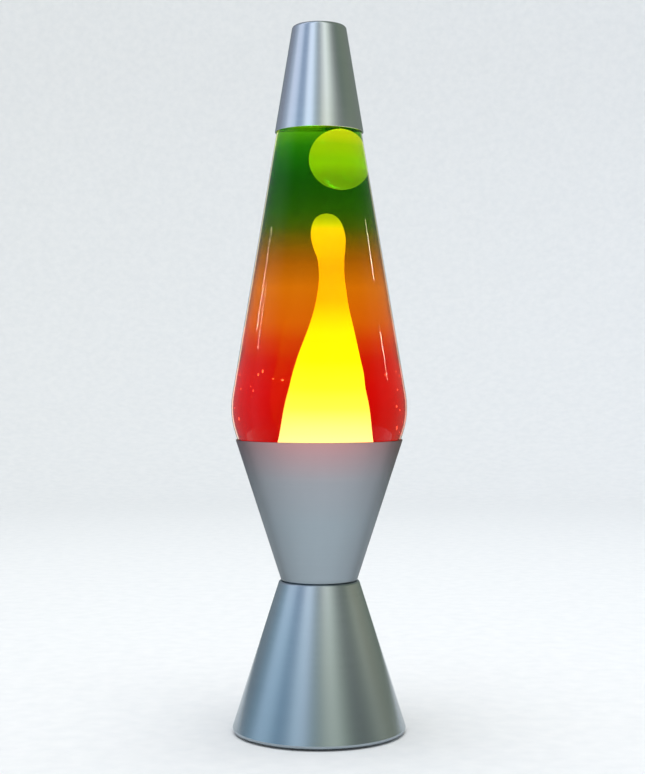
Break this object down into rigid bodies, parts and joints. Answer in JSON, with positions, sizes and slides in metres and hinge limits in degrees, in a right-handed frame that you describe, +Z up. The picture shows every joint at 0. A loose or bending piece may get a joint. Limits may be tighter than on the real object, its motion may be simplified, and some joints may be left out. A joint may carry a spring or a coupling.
{
  "type": "lava lamp",
  "caption": "Lava lamp with a spun metal hourglass base, a tapered tri-colour glass globe of glowing wax, a lift-off cap and a screw-in bulb.",
  "frame": {"origin": "on the floor under the middle of the base, at the bottom of the rubber feet", "axes": "+Z up along the lamp's turning axis; -Y is the front; the cord outlet is at the back, +Y"},
  "size_m": [0.0918, 0.0918, 0.3683],
  "materials": {
    "stand_aluminium": "spun and brushed, clear lacquered",
    "cradle_aluminium": "fine satin",
    "cap_aluminium": "spun and brushed",
    "black_plastic": "moulded, fine grain",
    "black_rubber": "matt",
    "phenolic": "moulded phenolic",
    "fibre": "vulcanised fibre",
    "brass": "pressed, bright",
    "plated_steel": "zinc plated",
    "bulb_metal": "nickel plated",
    "black_glass": "fused black glass",
    "solder": "smooth",
    "bulb_glass": "clear",
    "tinplate": "lacquered tinplate",
    "liner": "soft sealing compound",
    "tinted_glass": "gloss, with graded green, orange and red lacquer",
    "liquid": "clear liquid, seen through the tinted glass",
    "glowing_wax": "smooth molten wax, lit from below",
    "glowing_tungsten": "incandescent"
  },
  "bodies": {
    "base": {"stand_cone": "stand_aluminium", "base_plate": "black_plastic", "rubber_feet": "black_rubber", "cord_grommet": "black_rubber", "cradle_cone": "cradle_aluminium", "lampholder_body": "phenolic", "lampholder_ring": "phenolic", "lampholder_washer": "fibre", "lampholder_shell": "brass", "lampholder_tongue": "brass", "centre_terminal": "brass", "shell_terminal": "brass", "terminal_screws": "plated_steel", "lampholder_end_cap": "phenolic"},
    "bulb_carrier": {"bulb_tip": "solder"},
    "bulb": {"bulb_envelope": "bulb_glass", "bulb_screw_cap": "bulb_metal", "bulb_insulator": "black_glass", "bulb_stem": "bulb_glass", "bulb_lead_wires": "bulb_metal", "bulb_support_wire": "bulb_metal", "bulb_filament": "glowing_tungsten"},
    "globe": {"bottle": "tinted_glass", "crown_cap": "tinplate", "crown_liner": "liner", "wax_column": "glowing_wax", "heating_coil": "plated_steel", "liquid": "liquid"},
    "floating_wax": {"wax_blob": "glowing_wax"},
    "cap": {"top_cap": "cap_aluminium"}
  },
  "joints": [
    {"name": "globe_lift", "type": "slide", "parent": "base", "child": "globe", "axis": [0, 0, 1], "range_m": [0, 0.1]},
    {"name": "cap_lift", "type": "slide", "parent": "globe", "child": "cap", "axis": [0, 0, 1], "range_m": [0, 0.08]},
    {"name": "wax_blob_drift", "type": "slide", "parent": "globe", "child": "floating_wax", "axis": [0, 0, 1], "range_m": [-0.011, 0], "deforming": ["liquid"]},
    {"name": "bulb_lift", "type": "slide", "parent": "base", "child": "bulb_carrier", "axis": [0, 0, 1], "range_m": [0, 0.0071]},
    {"name": "bulb_turn", "type": "hinge", "parent": "bulb_carrier", "child": "bulb", "pos_m": [0, 0, 0.057], "axis": [0, 0, 1], "range_deg": [0, 900]}
  ],
  "couplings": [
    {"joint": "bulb_lift", "follows": "bulb_turn", "m_per_rad": 0.00044913}
  ]
}
